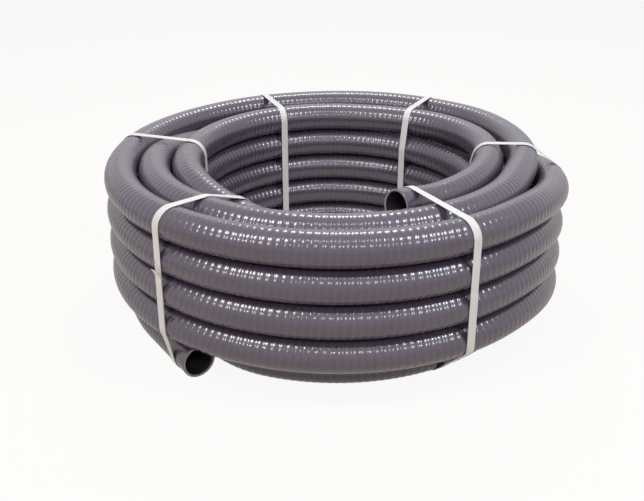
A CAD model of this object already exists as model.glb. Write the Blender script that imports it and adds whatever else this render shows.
import math

import bpy
import numpy as np
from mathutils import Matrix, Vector


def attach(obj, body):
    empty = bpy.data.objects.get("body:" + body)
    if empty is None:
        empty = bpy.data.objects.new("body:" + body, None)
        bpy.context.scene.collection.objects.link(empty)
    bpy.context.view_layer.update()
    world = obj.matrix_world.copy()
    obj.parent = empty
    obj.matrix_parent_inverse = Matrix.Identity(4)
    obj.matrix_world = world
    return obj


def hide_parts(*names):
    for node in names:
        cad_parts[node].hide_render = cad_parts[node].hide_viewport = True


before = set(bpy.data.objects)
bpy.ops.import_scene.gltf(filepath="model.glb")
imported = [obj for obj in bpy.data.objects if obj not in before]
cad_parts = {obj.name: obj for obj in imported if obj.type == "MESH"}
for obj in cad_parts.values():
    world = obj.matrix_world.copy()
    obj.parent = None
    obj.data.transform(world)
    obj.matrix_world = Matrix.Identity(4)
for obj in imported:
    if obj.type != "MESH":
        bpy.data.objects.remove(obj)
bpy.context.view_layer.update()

bl_info = {
    "name": "Waste hose coil",
    "version": (1, 0, 0),
    "blender": (4, 5, 0),
    "location": "View3D > Sidebar > Hose coil",
    "description": "Dresses a tied coil of spiral reinforced waste hose around its packed frame",
    "category": "Object",
}

MM = 0.001

# The winding, as azimuths in degrees counted up along the hose: 0 is +X and the front is 270
ROWS = 5
MIDDLE_START = 360 * ROWS
OUTER_START = 360 * 2 * ROWS
FIRST = 306
LAST = 360 * (3 * ROWS - 1) + 216
# Where a turn changes its row, in the inner, middle and outer column
INNER_RAMP = (199, 294)
MIDDLE_RAMP = (105, 190)
OUTER_RAMP = (-48, 31)
# Where the hose changes its column
TO_MIDDLE = (MIDDLE_START + 184, MIDDLE_START + 251)
TO_OUTER = (OUTER_START - 24, OUTER_START + 42)
EASE = 0.18         # share of a change over which it starts, and over which it ends

# Departures of single turns from a circle: share of the hose's diameter, azimuth, half width
TUCK = (-0.18, 304.5, 50)
INNER_BULGE = (0.48, 360 + 28, 55)
OUTER_BULGE = (0.16, OUTER_START + 363, 36)
OVAL = (-0.1, 160, 60)              # in every turn
# A stretch of the outer column that lies further in: by how much, where it goes in, where it comes out
DIP = -0.18
DIP_IN = (OUTER_START + 70, OUTER_START + 105)
DIP_OUT = (OUTER_START + 130, OUTER_START + 175)
# The last stretch before the lower end, which goes further in: by how much, and where
LAST_IN = -0.45
LAST_ZONE = (LAST - 76, LAST - 26)

# Straps: azimuth on the outer column, azimuth on the inner column
STRAPS = {
    "strap_front_left": (230.2, 234.3),
    "strap_front_right": (298.3, 296.5),
    "strap_right": (359.0, 359.8),
    "strap_back_right": (56.8, 54.3),
    "strap_back_left": (113.5, 114.5),
    "strap_left": (172.0, 176.7),
}
LOOSE_TAIL = "strap_front_left"

# Where each length of the hose begins: at the cut end, under a strap, or inside the stack
HOSE_CUTS = {
    "hose_inner_top": None,
    "hose_inner_base": 3 * 360 + 114.5,
    "hose_middle_base": TO_MIDDLE[1],
    "hose_middle_top": 7 * 360 + 293,
    "hose_outer_top": TO_OUTER[0],
    "hose_outer_mid": 11 * 360 + 298.3,
    "hose_outer_base": 13 * 360 + 230.2,
}

# The centreline: lengths in mm, steps of azimuth in degrees
BOX_STEP = 5        # between the points that centre the coil
FINE_STEP = 0.1     # between the points that its length is measured on
SPARE = 60          # kept beyond both cut ends
LINE_STEP = 2.0     # between the points of the finished line
SOFTENED = 9.0      # over which the line's bends are eased

# The hose's mesh: lengths in mm
SIDES = 28
BORE_STEP = 40      # between the rings of the bore
LIP = 0.7           # by which the edges of a cut end are bevelled
# One rib from crest to crest: where its rings lie, as shares of the pitch, and how high they stand, as
# shares of the depth
RIB_ROWS = (0.0, 0.23, 0.29, 0.35, 0.5, 0.65, 0.71, 0.77)
RIB_FORM = (1.0, 0.94, 0.5, 0.06, 0.0, 0.06, 0.5, 0.94)
SKIN_SLOT, SAWN_SLOT, BORE_SLOT = 0, 1, 2
HOSE_SHARP = math.radians(32)       # an edge of the hose that bends more than this stays sharp

# The straps' mesh: lengths in mm
FACET = 4           # degrees between the points on a section of the hose
BAND_STEP = 2.5     # between the points along a strap
EVENED = 7          # points over which a strap's normals are evened out, twice
ACROSS = 5          # points across a strap
WELD_GAP = 0.08     # between the two layers of a weld
CLIMB_FROM = 4      # steps before its own start at which a strap leaves the hose
CLIMB_OVER = 3      # steps over which it climbs on to the first layer
TAIL_REACH = 0.9    # how far a loose tail goes on, as a share of its length
TAIL_RISE = 0.85    # how far its end stands off, as a share of half its length
STRAIGHT = 1e-9     # three points of an outline that turn by no more than this, in mm2, lie in line
STRAP_SHARP = math.radians(40)      # an edge of a strap that bends more than this stays sharp
ROUND_OVER = math.radians(60)       # and one that bends more than this is rounded
ROUNDING = 0.3                      # by this share of the thickness

# Sockets of a mix of two colours: inputs 6 and 7, and output 2
FIRST_COLOUR = 6
SECOND_COLOUR = 7
MIXED_COLOUR = 2

PLAIN_WHITE = (1.0, 1.0, 1.0)
COOL_WHITE = (0.86, 0.93, 1.0)
# Soft boxes: name, azimuth and elevation in degrees, distance, width and height in metres, watts and
# colour
LAMPS = (
    ("overhead", 90, 75, 2.4, 1.4, 1.6, 2, PLAIN_WHITE),
    ("back_wall", 90, 36, 2.8, 2.4, 1.1, 5, PLAIN_WHITE),
    ("back", 86, 57, 2.8, 0.66, 0.46, 20, PLAIN_WHITE),
    ("front_top", 272, 65, 2.6, 0.40, 0.28, 5, PLAIN_WHITE),
    ("key_left", 218, 53, 2.8, 0.46, 0.46, 23, PLAIN_WHITE),
    ("key_right", 332, 53, 2.8, 0.42, 0.42, 23, COOL_WHITE),
    ("low_left", 226, 31, 2.8, 0.26, 0.26, 9, PLAIN_WHITE),
    ("low_right", 317, 31, 2.8, 0.26, 0.26, 9, COOL_WHITE),
    ("low_front", 275, 37, 2.8, 0.24, 0.24, 7, PLAIN_WHITE),
)
LAMP_AIM = Vector((0, 0, 0.15))
FLOOR_SIDE = 14     # metres
FLOOR_WHITE = 0.92  # share of plain white in the floor that the camera sees
MIRROR_WHITE = 0.45                 # and in its reflections, as a share of that
WHITE_LIGHT = (1.0, 1.0, 1.0, 1.0)
SOFT_LIGHT = 0.07   # strength of the light from all round


# ---------------------------------------------------------------- the winding

def ramp(x):
    """Eased step from 0 to 1: level at both ends and straight between them."""
    u = np.clip(x, 0, 1)
    k = 1 / (1 - EASE)
    start, end = k * u * u / (2 * EASE), 1 - k * (1 - u) ** 2 / (2 * EASE)
    return np.where(u < EASE, start, np.where(u < 1 - EASE, k * (u - EASE / 2), end))


def passed(a, zone, turns=0):
    """Share of a zone of azimuths that a has passed, with the zone moved on by some turns."""
    return ramp((a - zone[0] - 360 * turns) / (zone[1] - zone[0]))


def swell(a, bump):
    """A smooth bump around one azimuth."""
    return bump[0] * np.cos(np.pi / 2 * np.clip((a - bump[1]) / bump[2], -1, 1)) ** 2


def drops(a, zone, first, last):
    """Rows changed so far, one in each turn from first to last."""
    k = np.floor((a - zone[0]) / 360)
    return np.clip(k - first + passed(a, zone, k), 0, last - first + 1)


class Winding:
    """The centreline of the whole hose in millimetres, and its frame at any length along it."""

    def __init__(self, hose, straps):
        self.od = hose.outer_diameter / MM
        self.inner_radius = hose.inner_radius / MM
        self.column_step = self.od + hose.column_gap / MM
        self.pitch = self.od + hose.row_gap / MM
        self.floor_to_axis = (straps.thickness + straps.clearance) / MM + self.od / 2
        self.degree = math.pi / 180 * self.inner_radius
        self.lift = hose.upper_lift
        # Both cut ends leave the winding on a straight run of one diameter
        self.start = FIRST - (self.od + hose.upper_end / MM) / self.degree
        self.end = LAST + (self.od + hose.lower_end / MM) / self.degree
        box_points = self.centre(np.arange(FIRST, LAST + FINE_STEP, BOX_STEP))
        middle = (box_points.min(0) + box_points.max(0)) / 2
        self.shift = np.array([-middle[0], -middle[1], 0.0])
        self._measure()

    def radius(self, a):
        """From the middle of the coil to the centreline."""
        bumps = swell(a, TUCK) + swell(a, INNER_BULGE) + swell(a, OUTER_BULGE) + swell(a % 360, OVAL)
        dip = DIP * (passed(a, DIP_IN) - passed(a, DIP_OUT)) + LAST_IN * passed(a, LAST_ZONE)
        columns = passed(a, TO_MIDDLE) + passed(a, TO_OUTER)
        return self.inner_radius + self.column_step * columns + self.od * (bumps + dip)

    def height(self, a):
        """From the floor to the centreline."""
        row = (drops(a, INNER_RAMP, 1, ROWS - 1) - drops(a, MIDDLE_RAMP, ROWS + 1, 2 * ROWS - 1)
               + drops(a, OUTER_RAMP, 2 * ROWS + 1, 3 * ROWS - 1))
        return self.floor_to_axis + (ROWS - 1 - row) * self.pitch

    def wound(self, a):
        """The centreline between its two straight ends."""
        a = np.asarray(a, float)
        r = self.radius(a)
        return np.stack([r * np.cos(np.radians(a)), r * np.sin(np.radians(a)), self.height(a)], -1)

    def centre(self, a):
        """Azimuths before FIRST and after LAST lie on the two straight ends."""
        a = np.asarray(a, float)
        points = self.wound(np.clip(a, FIRST, LAST))
        first, last = math.radians(FIRST), math.radians(LAST)
        upper_way = np.array([math.cos(self.lift) * math.sin(first),
                              -math.cos(self.lift) * math.cos(first), math.sin(self.lift)])
        lower_way = np.array([-math.sin(last), math.cos(last), 0.0])
        points += np.clip(FIRST - a, 0, None)[..., None] * self.degree * upper_way
        points += np.clip(a - LAST, 0, None)[..., None] * self.degree * lower_way
        return points

    def _measure(self):
        """Turns azimuths into lengths along the hose, eases the line, and works out its frame."""
        spare = SPARE / self.degree
        a = np.arange(self.start - spare, self.end + spare, FINE_STEP)
        steps = np.linalg.norm(np.diff(self.centre(a), axis=0), axis=1)
        run = np.concatenate([[0], np.cumsum(steps)])
        self.length = float(np.interp(self.end, a, run) - np.interp(self.start, a, run))
        run -= np.interp(self.start, a, run)
        self.s = np.arange(run[0], run[-1], LINE_STEP)
        self.azimuth = np.interp(self.s, run, a)
        line = self.centre(self.azimuth)
        reach = int(3 * SOFTENED / LINE_STEP)
        weights = np.exp(-0.5 * (np.arange(-reach, reach + 1) * LINE_STEP / SOFTENED) ** 2)
        weights /= weights.sum()
        inside = slice(reach, len(line) - reach)
        eased = np.stack([np.convolve(line[:, k], weights, "same") for k in range(3)], -1)
        line[inside] = eased[inside]
        self.line = line + self.shift
        self.tangent = np.gradient(self.line, axis=0)
        self.tangent /= np.linalg.norm(self.tangent, axis=1)[:, None]
        out = np.cross(self.tangent, [0, 0, 1])
        self.out = out / np.linalg.norm(out, axis=1)[:, None]
        self.up = np.cross(self.out, self.tangent)

    def along(self, table, s):
        """A table of points or directions, read at lengths s."""
        return np.stack([np.interp(s, self.s, table[:, k]) for k in range(3)], -1)

    def length_at(self, azimuth):
        """The length along the hose at which an azimuth lies."""
        return float(np.interp(azimuth, self.azimuth, self.s))

    def around(self, s, theta, r):
        """Points in metres at lengths s and r mm from the line, turned by theta from its outer side."""
        s, theta, r = (each.ravel() for each in np.broadcast_arrays(s, theta, r))
        line, out, up = (self.along(table, s) for table in (self.line, self.out, self.up))
        sideways = np.cos(theta)[:, None] * out + np.sin(theta)[:, None] * up
        return (line + r[:, None] * sideways) * MM


# ---------------------------------------------------------------- materials

def hex_colour(text):
    """An sRGB hex value as a linear colour."""
    parts = [int(text[i:i + 2], 16) / 255 for i in (1, 3, 5)]
    return [p / 12.92 if p <= 0.04045 else ((p + 0.055) / 1.055) ** 2.4 for p in parts] + [1.0]


def add_node(tree, kind, links=None, **settings):
    """Adds a node. settings name its properties, or its inputs by label or number in inputs={}."""
    node = tree.nodes.new(kind)
    for name, value in (settings.pop("inputs", None) or {}).items():
        node.inputs[name].default_value = value
    for name, value in settings.items():
        setattr(node, name, value)
    for name, socket in (links or {}).items():
        tree.links.new(socket, node.inputs[name])
    return node


def new_material(name):
    """An empty node material and its tree."""
    material = bpy.data.materials.new(name)
    material.use_nodes = True
    material.node_tree.nodes.clear()
    return material, material.node_tree


def ribbed_pvc(colour, rib_colour):
    """Plasticised PVC, extruded over a rigid PVC spiral: glossy, with the spiral a shade lighter."""
    material, tree = new_material("extruded_soft_pvc")
    uv = add_node(tree, "ShaderNodeUVMap", uv_map="along_hose")
    split = add_node(tree, "ShaderNodeSeparateXYZ", {"Vector": uv.outputs["UV"]})
    turn = add_node(tree, "ShaderNodeMath", {0: split.outputs["X"]}, operation="MULTIPLY",
                    inputs={1: 2 * math.pi})
    wave = add_node(tree, "ShaderNodeMath", {0: turn.outputs[0]}, operation="COSINE")
    # 1 over the spiral, 0 on the soft wall between its turns
    crest = add_node(tree, "ShaderNodeMapRange", {"Value": wave.outputs[0]},
                     inputs={"From Min": -0.7, "From Max": 0.9, "To Min": 0.0, "To Max": 1.0})
    place = add_node(tree, "ShaderNodeTexCoord")
    # cloudy bloom of the plasticiser, in patches about 60 mm across
    bloom = add_node(tree, "ShaderNodeTexNoise", {"Vector": place.outputs["Object"]},
                     inputs={"Scale": 1 / (60 * MM), "Detail": 4.0, "Roughness": 0.6})
    # fine dust and handling marks, about 4 mm across
    dust = add_node(tree, "ShaderNodeTexNoise", {"Vector": place.outputs["Object"]},
                    inputs={"Scale": 1 / (4 * MM), "Detail": 3.0, "Roughness": 0.65})
    ribs = add_node(tree, "ShaderNodeMix", {"Factor": crest.outputs["Result"]}, data_type="RGBA",
                    inputs={FIRST_COLOUR: hex_colour(colour), SECOND_COLOUR: hex_colour(rib_colour)})
    tint = add_node(tree, "ShaderNodeMapRange", {"Value": bloom.outputs["Fac"]},
                    inputs={"From Min": 0.3, "From Max": 0.7, "To Min": 0.95, "To Max": 1.05})
    shade = add_node(tree, "ShaderNodeHueSaturation",
                     {"Color": ribs.outputs[MIXED_COLOUR], "Value": tint.outputs["Result"]})
    gloss = add_node(tree, "ShaderNodeMapRange", {"Value": dust.outputs["Fac"]},
                     inputs={"From Min": 0.3, "From Max": 0.75, "To Min": 0.18, "To Max": 0.26})
    bump = add_node(tree, "ShaderNodeBump", {"Height": dust.outputs["Fac"]},
                    inputs={"Strength": 0.04, "Distance": 0.3 * MM})
    surface = add_node(tree, "ShaderNodeBsdfPrincipled",
                       {"Base Color": shade.outputs["Color"], "Roughness": gloss.outputs["Result"],
                        "Normal": bump.outputs["Normal"]},
                       inputs={"IOR": 1.7})
    add_node(tree, "ShaderNodeOutputMaterial", {"Surface": surface.outputs["BSDF"]})
    return material


def sawn_pvc():
    """The sawn end of the PVC wall: paler than the skin and dull."""
    material, tree = new_material("sawn_pvc")
    place = add_node(tree, "ShaderNodeTexCoord")
    # saw marks about 1.2 mm apart
    marks = add_node(tree, "ShaderNodeTexNoise", {"Vector": place.outputs["Object"]},
                     inputs={"Scale": 1 / (1.2 * MM), "Detail": 2.0})
    colour = add_node(tree, "ShaderNodeMix", {"Factor": marks.outputs["Fac"]}, data_type="RGBA",
                      inputs={FIRST_COLOUR: hex_colour("#968d90"),
                              SECOND_COLOUR: hex_colour("#b0a7a8")})
    surface = add_node(tree, "ShaderNodeBsdfPrincipled", {"Base Color": colour.outputs[MIXED_COLOUR]},
                       inputs={"Roughness": 0.6, "IOR": 1.53})
    add_node(tree, "ShaderNodeOutputMaterial", {"Surface": surface.outputs["BSDF"]})
    return material


def bore_pvc():
    """The smooth inner wall of the same PVC, darker because no light has bleached it."""
    material, tree = new_material("smooth_bore_pvc")
    place = add_node(tree, "ShaderNodeTexCoord")
    # a film in clouds about 20 mm across
    film = add_node(tree, "ShaderNodeTexNoise", {"Vector": place.outputs["Object"]},
                    inputs={"Scale": 1 / (20 * MM), "Detail": 3.0})
    colour = add_node(tree, "ShaderNodeMix", {"Factor": film.outputs["Fac"]}, data_type="RGBA",
                      inputs={FIRST_COLOUR: hex_colour("#433d46"),
                              SECOND_COLOUR: hex_colour("#4e4752")})
    surface = add_node(tree, "ShaderNodeBsdfPrincipled", {"Base Color": colour.outputs[MIXED_COLOUR]},
                       inputs={"Roughness": 0.35, "IOR": 1.53})
    add_node(tree, "ShaderNodeOutputMaterial", {"Surface": surface.outputs["BSDF"]})
    return material


def strapping_pp(colour, emboss_pitch):
    """White polypropylene strapping: slightly glossy, rolled with a fine diamond emboss."""
    material, tree = new_material("embossed_polypropylene")
    uv = add_node(tree, "ShaderNodeUVMap", uv_map="along_strap")
    turned = add_node(tree, "ShaderNodeMapping", {"Vector": uv.outputs["UV"]},
                      inputs={"Rotation": (0, 0, math.radians(45)), "Scale": (1 / emboss_pitch,) * 3})
    split = add_node(tree, "ShaderNodeSeparateXYZ", {"Vector": turned.outputs["Vector"]})
    waves = []
    for axis in ("X", "Y"):
        turn = add_node(tree, "ShaderNodeMath", {0: split.outputs[axis]}, operation="MULTIPLY",
                        inputs={1: 2 * math.pi})
        waves.append(add_node(tree, "ShaderNodeMath", {0: turn.outputs[0]}, operation="SINE"))
    weave = add_node(tree, "ShaderNodeMath", {0: waves[0].outputs[0], 1: waves[1].outputs[0]},
                     operation="MULTIPLY")
    bump = add_node(tree, "ShaderNodeBump", {"Height": weave.outputs[0]},
                    inputs={"Strength": 0.25, "Distance": 0.2 * MM})
    place = add_node(tree, "ShaderNodeTexCoord")
    # grime in patches about 30 mm across, which takes most from the blue
    grime = add_node(tree, "ShaderNodeTexNoise", {"Vector": place.outputs["Object"]},
                     inputs={"Scale": 1 / (30 * MM), "Detail": 4.0})
    clean = hex_colour(colour)
    worn = [part * kept for part, kept in zip(clean, (0.94, 0.93, 0.92, 1.0))]
    tint = add_node(tree, "ShaderNodeMix", {"Factor": grime.outputs["Fac"]}, data_type="RGBA",
                    inputs={FIRST_COLOUR: clean, SECOND_COLOUR: worn})
    surface = add_node(tree, "ShaderNodeBsdfPrincipled",
                       {"Base Color": tint.outputs[MIXED_COLOUR], "Normal": bump.outputs["Normal"]},
                       inputs={"Roughness": 0.42, "IOR": 1.49})
    add_node(tree, "ShaderNodeOutputMaterial", {"Surface": surface.outputs["BSDF"]})
    return material


# ---------------------------------------------------------------- the hose

def skin_radius(winding, hose, s, theta):
    """Radius of the skin in mm, with ribs that are pressed flat at both cut ends of the whole hose."""
    smooth = hose.smooth_end / MM
    fade = np.clip(s / smooth - 1, 0, 1) * np.clip((winding.length - s) / smooth - 1, 0, 1)
    phase = (s / (hose.rib_pitch / MM) - theta / (2 * np.pi)) % 1
    form = np.interp(phase, RIB_ROWS + (1.0,), RIB_FORM + (1.0,))
    return winding.od / 2 - hose.rib_depth / MM * fade * (1 - form)


def skin_grid(low, high, rib):
    """The skin's points ring by side: lengths, the point that stands for each, and both end rings.

    A ring climbs one rib pitch in a turn, so that the ribs run along the grid. Points past a cut are
    gathered on it, and the one nearest to the cut stands for the rest."""
    per_rib = len(RIB_ROWS)
    first = (math.floor(low / rib) - 2) * per_rib
    last = (math.ceil(high / rib) + 1) * per_rib
    ring = np.arange(first, last + 1)[:, None]
    side = np.arange(SIDES)
    s = rib * (ring // per_rib + np.array(RIB_ROWS)[ring % per_rib] + side / SIDES)
    index = np.arange(s.size).reshape(s.shape)
    at_low = (s <= low).sum(0) - 1
    at_high = len(s) - (s >= high).sum(0)
    home = np.take_along_axis(index, np.clip(np.arange(len(s))[:, None], at_low, at_high), 0)
    return np.clip(s, low, high), home, home[at_low, side], home[at_high, side]


def skin_faces(home):
    """Quads between rings, and triangles where a cut crosses one, with the turn of each corner."""
    per_rib = len(RIB_ROWS)
    count = len(home) - per_rib - 1
    near, far = home[:count], home[1:count + 1]
    # After the last side a ring goes on one rib further along, on the first side
    near_next = np.hstack([near[:, 1:], home[per_rib:per_rib + count, :1]])
    far_next = np.hstack([far[:, 1:], home[per_rib + 1:per_rib + 1 + count, :1]])
    quads = np.stack([near, far, far_next, near_next], -1).reshape(-1, 4)
    side = np.tile(np.arange(SIDES), count)
    turns = np.stack([side, side, side + 1, side + 1], -1) / SIDES
    shut_here = quads[:, 0] == quads[:, 1]
    shut_next = quads[:, 2] == quads[:, 3]
    faces, face_turns = [], []
    for kept, corners in ((~shut_here & ~shut_next, [0, 1, 2, 3]),
                          (shut_here & ~shut_next, [0, 2, 3]),
                          (~shut_here & shut_next, [0, 1, 2])):
        faces += quads[kept][:, corners].tolist()
        face_turns += turns[kept][:, corners].tolist()
    return faces, face_turns


def hose_mesh(name, winding, hose, start, end, mouth_at_start, mouth_at_end):
    """A closed length of hose: ribbed skin, flat cut ends and its bore. Lengths are in mm."""
    rib = hose.rib_pitch / MM
    outer, bore = winding.od / 2, winding.od / 2 - hose.wall / MM
    low = start + (LIP if mouth_at_start else 0)
    high = end - (LIP if mouth_at_end else 0)
    angle = 2 * np.pi * np.arange(SIDES) / SIDES
    s, home, first_ring, last_ring = skin_grid(low, high, rib)
    points = [winding.around(s, angle, skin_radius(winding, hose, s, angle))]
    faces, face_turns = skin_faces(home)
    length = s.ravel()
    uvs = [(length[v] / rib - turn, turn)
           for face, row in zip(faces, face_turns) for v, turn in zip(face, row)]
    slots = [SKIN_SLOT] * len(faces)

    # Rings over the first rim, through the bore and over the other rim: length along the hose, radius
    inner = [(start, outer - LIP), (start, bore + LIP)] if mouth_at_start else []
    bore_from = len(inner) + 1
    inner.append((low, bore))
    count = max(2, math.ceil((end - start) / BORE_STEP))
    inner += [(at, bore) for at in np.linspace(start, end, count + 1)[1:-1]]
    inner.append((high, bore))
    bore_to = len(inner)
    if mouth_at_end:
        inner += [(end, bore + LIP), (end, outer - LIP)]
    rings = [first_ring.tolist()]
    for k, (at, radius) in enumerate(inner):
        rings.append(list(range(s.size + k * SIDES, s.size + (k + 1) * SIDES)))
        points.append(winding.around(at, angle, radius))
    rings.append(last_ring.tolist())
    for k in range(len(rings) - 1):
        near, far = rings[k], rings[k + 1]
        for m in range(SIDES):
            n = (m + 1) % SIDES
            faces.append([near[m], near[n], far[n], far[m]])
            uvs += [(0.0, 0.0)] * 4
        rim_slot = SKIN_SLOT if k in (0, len(rings) - 2) else SAWN_SLOT
        slots += [BORE_SLOT if bore_from <= k < bore_to else rim_slot] * SIDES

    # Points that nothing uses are left out
    used, renumbered = np.unique(np.array([v for face in faces for v in face]), return_inverse=True)
    packed, taken = [], 0
    for face in faces:
        packed.append(renumbered[taken:taken + len(face)].tolist())
        taken += len(face)
    mesh = bpy.data.meshes.new(name)
    mesh.from_pydata(np.concatenate(points)[used].tolist(), [], packed)
    layer = mesh.uv_layers.new(name="along_hose")
    layer.data.foreach_set("uv", np.array(uvs, np.float32).ravel())
    mesh.polygons.foreach_set("material_index", slots)
    mesh.validate()
    mesh.update()
    return mesh


def deselect_all():
    bpy.ops.object.select_all(action="DESELECT")


def show_mesh(name, mesh, materials, smooth_angle):
    """Puts a mesh into the scene as a piece, shaded smooth up to that angle."""
    piece = bpy.data.objects.new(name, mesh)
    bpy.context.scene.collection.objects.link(piece)
    for material in materials:
        mesh.materials.append(material)
    deselect_all()
    piece.select_set(True)
    bpy.context.view_layer.objects.active = piece
    bpy.ops.object.shade_smooth_by_angle(angle=smooth_angle)
    return piece


# ---------------------------------------------------------------- the straps

def hull_of(points):
    """Indices of the convex hull of points in a plane, counter-clockwise."""
    order = sorted(range(len(points)), key=lambda k: (points[k][0], points[k][1]))

    def chain(run):
        kept = []
        for k in run:
            while len(kept) > 1:
                o, a = points[kept[-2]], points[kept[-1]]
                left = (a[0] - o[0]) * (points[k][1] - o[1]) - (a[1] - o[1]) * (points[k][0] - o[0])
                if left > STRAIGHT:
                    break
                kept.pop()
            kept.append(k)
        return kept[:-1]

    return chain(order) + chain(order[::-1])


def hose_sections(winding, origin, way, radius):
    """Outlines of the hose where it crosses a strap's upright plane, with the hose's direction at each.

    A point of the plane is given as its distance along way and its height, in mm."""
    line, tangent = winding.line, winding.tangent
    from_origin = line[:, :2] - origin
    beside = from_origin[:, 0] * way[1] - from_origin[:, 1] * way[0]
    on_hose = (winding.s >= 0) & (winding.s <= winding.length)
    near_strap = from_origin @ way > -winding.column_step
    hits = np.nonzero((beside[:-1] * beside[1:] < 0) & near_strap[:-1] & on_hose[:-1])[0]
    if len(hits) == 0:
        raise RuntimeError("a strap's plane meets no hose")
    outline, directions = [], []
    for h in hits:
        # A round hose that is cut aslant shows as an ellipse, which leans where the hose climbs
        share = beside[h] / (beside[h] - beside[h + 1])
        point, t = line[h] * (1 - share) + line[h + 1] * share, tangent[h]
        lean = math.atan2(t[2], t[:2] @ way)
        long = radius / abs(t[0] * way[1] - t[1] * way[0])
        for w in np.radians(np.arange(0, 360, FACET)):
            x, y = long * math.cos(w), radius * math.sin(w)
            outline.append(((point[:2] - origin) @ way + x * math.cos(lean) - y * math.sin(lean),
                            point[2] + x * math.sin(lean) + y * math.cos(lean)))
            directions.append(t)
    return outline, directions


def on_circle(r, azimuth):
    """The point in plan at that radius and azimuth."""
    return np.array([r * math.cos(math.radians(azimuth)), r * math.sin(math.radians(azimuth))])


def strap_loop(winding, straps, outer_azimuth, inner_azimuth):
    """The closed line that a strap's inner face follows, its outward normals, and its length. In mm."""
    origin = on_circle(winding.inner_radius, inner_azimuth)
    way = on_circle(winding.inner_radius + 2 * winding.column_step, outer_azimuth) - origin
    way /= np.linalg.norm(way)
    origin = origin + winding.shift[:2]
    outline, directions = hose_sections(winding, origin, way, winding.od / 2 + straps.clearance / MM)
    ring = hull_of(outline)
    flat = np.array([outline[k] for k in ring])
    axes = np.array([directions[k] for k in ring])

    # The strap lies flat on the hose, so its normal is square to the hose and to its own path
    step = np.roll(flat, -1, 0) - np.roll(flat, 1, 0)
    step /= np.linalg.norm(step, axis=1)[:, None]
    level, upright = np.array([way[0], way[1], 0.0]), np.array([0, 0, 1.0])
    normal = np.cross(axes, step[:, :1] * level + step[:, 1:] * upright)
    outward = step[:, 1:] * level - step[:, :1] * upright
    normal *= np.sign((normal * outward).sum(1))[:, None]
    normal /= np.linalg.norm(normal, axis=1)[:, None]
    points = np.array([origin[0], origin[1], 0.0]) + flat[:, :1] * level + flat[:, 1:] * upright

    # Even points round the loop, from the lower end of the weld and up over the top
    points, normal, flat = (np.vstack([table, table[:1]]) for table in (points, normal, flat))
    run = np.concatenate([[0], np.cumsum(np.linalg.norm(np.diff(points, axis=0), axis=1))])
    even = np.linspace(0, run[-1], int(run[-1] / BAND_STEP), endpoint=False)
    points, normal, flat = (np.stack([np.interp(even, run, column) for column in table.T], -1)
                            for table in (points, normal, flat))
    low = (straps.weld_middle - straps.weld_length / 2) / MM
    outside = flat[:, 0] > winding.column_step
    start = int(np.argmin(np.where(outside, np.abs(flat[:, 1] - low), np.inf)))
    points, normal = np.roll(points, -start, 0), np.roll(normal, -start, 0)

    # Normals evened out, with some of the loop repeated at both ends
    repeated = EVENED - 1
    for _ in range(2):
        wrapped = np.concatenate([normal[-repeated:], normal, normal[:repeated]])
        evened = [np.convolve(column, np.ones(EVENED) / EVENED, "same") for column in wrapped.T]
        normal = np.stack(evened, -1)[repeated:-repeated]
    normal /= np.linalg.norm(normal, axis=1)[:, None]
    return points, normal, run[-1]


def strap_mesh(name, winding, straps, azimuths, tail):
    """A strap's inner face: once round the bundle, then up over its own start, where it is welded."""
    points, normal, long = strap_loop(winding, straps, *azimuths)
    count = len(points)
    step = long / count
    half = straps.width / MM / 2
    overlap = int(round(straps.weld_length / MM / step))
    order = list(range(count)) + list(range(overlap + 1))
    path, normal = points[order], normal[order]
    climb = np.clip((np.arange(len(order)) - count + CLIMB_FROM) / CLIMB_OVER, 0, 1)
    second_layer = straps.thickness / MM + WELD_GAP
    path = path + normal * (second_layer * climb * climb * (3 - 2 * climb))[:, None]
    if tail > 0:
        # The loose tail goes on from the weld and bends away from the hose
        forward = path[-1] - path[-2]
        forward /= np.linalg.norm(forward)
        beyond = np.arange(1, int(tail / step) + 1) * step
        rise = beyond ** 2 / (2 * tail) * TAIL_RISE
        path = np.vstack([path, path[-1] + beyond[:, None] * forward * TAIL_REACH
                          + rise[:, None] * normal[-1]])
        normal = np.vstack([normal, np.repeat(normal[-1:], len(beyond), 0)])
    # Normals are made square to the path, and the strap spreads to both sides of it
    way = np.gradient(path, axis=0)
    way /= np.linalg.norm(way, axis=1)[:, None]
    normal = normal - (normal * way).sum(1)[:, None] * way
    normal /= np.linalg.norm(normal, axis=1)[:, None]
    side = np.cross(way, normal)
    across = np.linspace(-half, half, ACROSS)
    verts = (path[:, None, :] + across[None, :, None] * side[:, None, :]) * MM
    run = np.concatenate([[0], np.cumsum(np.linalg.norm(np.diff(path, axis=0), axis=1))])
    faces, uvs = [], []
    for a in range(len(path) - 1):
        for b in range(ACROSS - 1):
            here, there = a * ACROSS + b, (a + 1) * ACROSS + b
            faces.append([here, here + 1, there + 1, there])
            uvs += [(run[a], across[b]), (run[a], across[b + 1]),
                    (run[a + 1], across[b + 1]), (run[a + 1], across[b])]
    mesh = bpy.data.meshes.new(name)
    mesh.from_pydata(verts.reshape(-1, 3).tolist(), [], faces)
    layer = mesh.uv_layers.new(name="along_strap")
    layer.data.foreach_set("uv", (np.array(uvs, np.float32) * MM).ravel())
    mesh.update()
    return mesh


def apply_modifier(piece, kind, **settings):
    """Adds a modifier with its settings and applies it."""
    bpy.context.view_layer.objects.active = piece
    modifier = piece.modifiers.new(kind.title(), kind)
    for name, value in settings.items():
        setattr(modifier, name, value)
    bpy.ops.object.modifier_apply(modifier=modifier.name)


# ---------------------------------------------------------------- the stage

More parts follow.
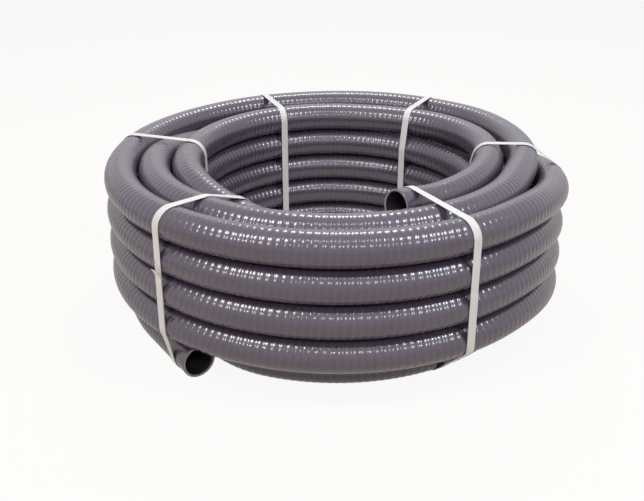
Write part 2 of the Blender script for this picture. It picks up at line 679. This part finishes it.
def add_camera(scene, stage):
    """The camera in front, a little to the left and looking down on the coil."""
    data = bpy.data.cameras.new("camera")
    data.sensor_width = 36.0
    data.lens = stage.lens
    data.shift_y = stage.shift
    data.clip_start = 0.05
    data.clip_end = 50.0
    camera = bpy.data.objects.new("camera", data)
    camera.location = stage.eye
    camera.rotation_euler = (math.pi / 2 - stage.pitch, 0, 0)
    scene.collection.objects.link(camera)
    scene.camera = camera


def add_lamp(scene, name, azimuth, elevation, distance, width, height, power, colour):
    """A soft box that is aimed at the coil and shows only in its gloss."""
    data = bpy.data.lights.new(name, "AREA")
    data.shape = "RECTANGLE"
    data.size = width
    data.size_y = height
    data.energy = power
    data.color = colour
    lamp = bpy.data.objects.new(name, data)
    a, e = math.radians(azimuth), math.radians(elevation)
    way = Vector((math.cos(a) * math.cos(e), math.sin(a) * math.cos(e), math.sin(e)))
    lamp.location = LAMP_AIM + distance * way
    lamp.rotation_euler = way.to_track_quat("Z", "Y").to_euler()
    lamp.visible_camera = False
    scene.collection.objects.link(lamp)


def seen_or_mirrored(tree, mirrored=1.0):
    """1 for what the camera sees directly, and that share of it in a reflection or through glass."""
    path = add_node(tree, "ShaderNodeLightPath")
    in_gloss, in_glass = path.outputs["Is Glossy Ray"], path.outputs["Is Transmission Ray"]
    either = add_node(tree, "ShaderNodeMath", {0: in_gloss, 1: in_glass}, operation="MAXIMUM")
    held = add_node(tree, "ShaderNodeMath", {0: either.outputs[0]}, operation="MULTIPLY",
                    inputs={1: mirrored})
    seen = add_node(tree, "ShaderNodeMath", {0: held.outputs[0], 1: path.outputs["Is Camera Ray"]},
                    operation="MAXIMUM")
    return seen.outputs[0]


def floor_paint(colour):
    """Matt studio paint, nearly white where it is seen directly. It still takes the coil's shadow."""
    material, tree = new_material("matt_studio_floor")
    paint = add_node(tree, "ShaderNodeBsdfDiffuse", inputs={"Color": hex_colour(colour)})
    glow = add_node(tree, "ShaderNodeEmission", inputs={"Color": WHITE_LIGHT, "Strength": 1.0})
    share = add_node(tree, "ShaderNodeMath", {0: seen_or_mirrored(tree, MIRROR_WHITE)},
                     operation="MULTIPLY", inputs={1: FLOOR_WHITE})
    mix = add_node(tree, "ShaderNodeMixShader",
                   {0: share.outputs[0], 1: paint.outputs[0], 2: glow.outputs[0]})
    add_node(tree, "ShaderNodeOutputMaterial", {"Surface": mix.outputs[0]})
    return material


def add_floor(colour):
    """A wide plane under the coil."""
    deselect_all()
    bpy.ops.mesh.primitive_plane_add(size=FLOOR_SIDE, location=(0, 0, 0))
    floor = bpy.context.object
    floor.name = "floor"
    floor.data.materials.append(floor_paint(colour))


def light_world(scene):
    """Even light from all round, which the camera and the reflections see as plain white."""
    world = bpy.data.worlds.new("studio")
    scene.world = world
    world.use_nodes = True
    tree = world.node_tree
    tree.nodes.clear()
    soft = add_node(tree, "ShaderNodeBackground", inputs={"Color": WHITE_LIGHT, "Strength": SOFT_LIGHT})
    white = add_node(tree, "ShaderNodeBackground", inputs={"Color": WHITE_LIGHT, "Strength": 1.0})
    mix = add_node(tree, "ShaderNodeMixShader",
                   {0: seen_or_mirrored(tree), 1: soft.outputs[0], 2: white.outputs[0]})
    add_node(tree, "ShaderNodeOutputWorld", {"Surface": mix.outputs[0]})


# ---------------------------------------------------------------- settings

class HoseSettings(bpy.types.PropertyGroup):
    """Sizes and colours of the hose"""
    outer_diameter: bpy.props.FloatProperty(
        name="Outer diameter", description="Diameter over the ribs", default=0.050, unit="LENGTH")
    wall: bpy.props.FloatProperty(
        name="Wall", description="From the bore to the top of the ribs", default=0.0035, unit="LENGTH")
    rib_pitch: bpy.props.FloatProperty(
        name="Rib pitch", description="Distance from rib to rib", default=0.010, unit="LENGTH")
    rib_depth: bpy.props.FloatProperty(
        name="Rib depth", description="Height of a rib over the skin beside it", default=0.0003,
        unit="LENGTH")
    inner_radius: bpy.props.FloatProperty(
        name="Inner radius", description="Radius of the inner column", default=0.2434, unit="LENGTH")
    row_gap: bpy.props.FloatProperty(
        name="Row gap", description="Gap between stacked turns", default=0.001, unit="LENGTH")
    column_gap: bpy.props.FloatProperty(
        name="Column gap", description="Gap between columns", default=0.0018, unit="LENGTH")
    upper_end: bpy.props.FloatProperty(
        name="Upper end", description="Length of the cut end at the top", default=0.020, unit="LENGTH")
    lower_end: bpy.props.FloatProperty(
        name="Lower end", description="Length of the cut end at the bottom", default=0.068,
        unit="LENGTH")
    upper_lift: bpy.props.FloatProperty(
        name="Upper lift", description="Angle of the upper end", default=math.radians(7),
        unit="ROTATION")
    smooth_end: bpy.props.FloatProperty(
        name="Smooth end", description="Length at a cut end where the ribs are pressed flat",
        default=0.035, unit="LENGTH")
    colour: bpy.props.StringProperty(
        name="Colour", description="sRGB hex of the soft wall", default="#534858")
    rib_colour: bpy.props.StringProperty(
        name="Rib colour", description="sRGB hex over the spiral", default="#574d5c")


class StrapSettings(bpy.types.PropertyGroup):
    """Sizes and colour of the straps"""
    width: bpy.props.FloatProperty(
        name="Width", description="Width of the strap", default=0.012, unit="LENGTH")
    thickness: bpy.props.FloatProperty(
        name="Thickness", description="Thickness of the strap", default=0.0008, unit="LENGTH")
    clearance: bpy.props.FloatProperty(
        name="Clearance", description="From the ribs to the strap", default=0.0003, unit="LENGTH")
    weld_length: bpy.props.FloatProperty(
        name="Weld length", description="Overlap of the two ends", default=0.084, unit="LENGTH")
    weld_middle: bpy.props.FloatProperty(
        name="Weld height", description="Middle of the overlap above the floor", default=0.112,
        unit="LENGTH")
    tail: bpy.props.FloatProperty(
        name="Loose tail", description="Length of the tail that stands off", default=0.020,
        unit="LENGTH")
    emboss_pitch: bpy.props.FloatProperty(
        name="Emboss pitch", description="Distance between the diamonds", default=0.0022,
        unit="LENGTH")
    colour: bpy.props.StringProperty(
        name="Colour", description="sRGB hex of the strap", default="#ebe9e8")


class StageSettings(bpy.types.PropertyGroup):
    """Camera and floor"""
    eye: bpy.props.FloatVectorProperty(
        name="Eye", description="Place of the camera", default=(-0.0262, -1.2329, 0.6615),
        unit="LENGTH")
    pitch: bpy.props.FloatProperty(
        name="Pitch", description="Angle of the camera below the horizon", default=0.35261,
        unit="ROTATION")
    lens: bpy.props.FloatProperty(
        name="Lens", description="Focal length in mm on a 36 mm sensor", default=43.95)
    shift: bpy.props.FloatProperty(
        name="Shift", description="Vertical lens shift", default=-0.125)
    floor_colour: bpy.props.StringProperty(
        name="Floor", description="sRGB hex of the floor", default="#ecdecd")


# ---------------------------------------------------------------- operators and panel

class OBJECT_OT_waste_hose_add(bpy.types.Operator):
    """Add the wound hose, in lengths that meet under the straps and inside the stack"""
    bl_idname = "object.waste_hose_add"
    bl_label = "Add the hose"

    def execute(self, context):
        hose, straps = context.scene.hose_coil, context.scene.hose_straps
        winding = Winding(hose, straps)
        finish = (ribbed_pvc(hose.colour, hose.rib_colour), sawn_pvc(), bore_pvc())
        names = list(HOSE_CUTS)
        cuts = [0.0] + [winding.length_at(HOSE_CUTS[name]) for name in names[1:]] + [winding.length]
        for k, name in enumerate(names):
            start, end = cuts[k], cuts[k + 1]
            at_first, at_last = k == 0, k == len(names) - 1
            mesh = hose_mesh(name, winding, hose, start, end, at_first, at_last)
            piece = show_mesh(name, mesh, finish, HOSE_SHARP)
            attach(piece, "root")
            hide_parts("hose_coil", "hose_upper_end", "hose_lower_end")
        return {"FINISHED"}


class OBJECT_OT_hose_straps_add(bpy.types.Operator):
    """Add the six straps that tie the coil"""
    bl_idname = "object.hose_straps_add"
    bl_label = "Add the straps"

    def execute(self, context):
        hose, straps = context.scene.hose_coil, context.scene.hose_straps
        winding = Winding(hose, straps)
        finish = (strapping_pp(straps.colour, straps.emboss_pitch),)
        for name, azimuths in STRAPS.items():
            tail = straps.tail / MM if name == LOOSE_TAIL else 0
            mesh = strap_mesh(name, winding, straps, azimuths, tail)
            piece = show_mesh(name.replace("strap_", "band_"), mesh, finish, STRAP_SHARP)
            apply_modifier(piece, "SOLIDIFY", thickness=straps.thickness, offset=1.0)
            apply_modifier(piece, "BEVEL", width=straps.thickness * ROUNDING, segments=2,
                           limit_method="ANGLE", angle_limit=ROUND_OVER)
            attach(piece, "root")
            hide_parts(name)
        return {"FINISHED"}


class SCENE_OT_coil_stage_add(bpy.types.Operator):
    """Add the camera, the lamps and the pale floor"""
    bl_idname = "scene.coil_stage_add"
    bl_label = "Add the stage"

    def execute(self, context):
        scene, stage = context.scene, context.scene.coil_stage
        add_camera(scene, stage)
        add_floor(stage.floor_colour)
        light_world(scene)
        for lamp in LAMPS:
            add_lamp(scene, *lamp)
        scene.view_settings.view_transform = "Standard"
        return {"FINISHED"}


class VIEW3D_PT_hose_coil(bpy.types.Panel):
    """Builds the coil piece by piece"""
    bl_label = "Hose coil"
    bl_idname = "VIEW3D_PT_hose_coil"
    bl_space_type = "VIEW_3D"
    bl_region_type = "UI"
    bl_category = "Hose coil"

    def draw(self, context):
        layout = self.layout
        for settings in (context.scene.hose_coil, context.scene.hose_straps, context.scene.coil_stage):
            for name in settings.__annotations__:
                layout.prop(settings, name)
        layout.operator(OBJECT_OT_waste_hose_add.bl_idname)
        layout.operator(OBJECT_OT_hose_straps_add.bl_idname)
        layout.operator(SCENE_OT_coil_stage_add.bl_idname)


CLASSES = (HoseSettings, StrapSettings, StageSettings, OBJECT_OT_waste_hose_add,
           OBJECT_OT_hose_straps_add, SCENE_OT_coil_stage_add, VIEW3D_PT_hose_coil)


def register():
    for each in CLASSES:
        bpy.utils.register_class(each)
    bpy.types.Scene.hose_coil = bpy.props.PointerProperty(type=HoseSettings)
    bpy.types.Scene.hose_straps = bpy.props.PointerProperty(type=StrapSettings)
    bpy.types.Scene.coil_stage = bpy.props.PointerProperty(type=StageSettings)


def unregister():
    del bpy.types.Scene.coil_stage
    del bpy.types.Scene.hose_straps
    del bpy.types.Scene.hose_coil
    for each in reversed(CLASSES):
        bpy.utils.unregister_class(each)


def main():
    register()
    bpy.ops.scene.coil_stage_add()
    bpy.ops.object.waste_hose_add()
    bpy.ops.object.hose_straps_add()
    deselect_all()


if __name__ == "__main__":
    main()
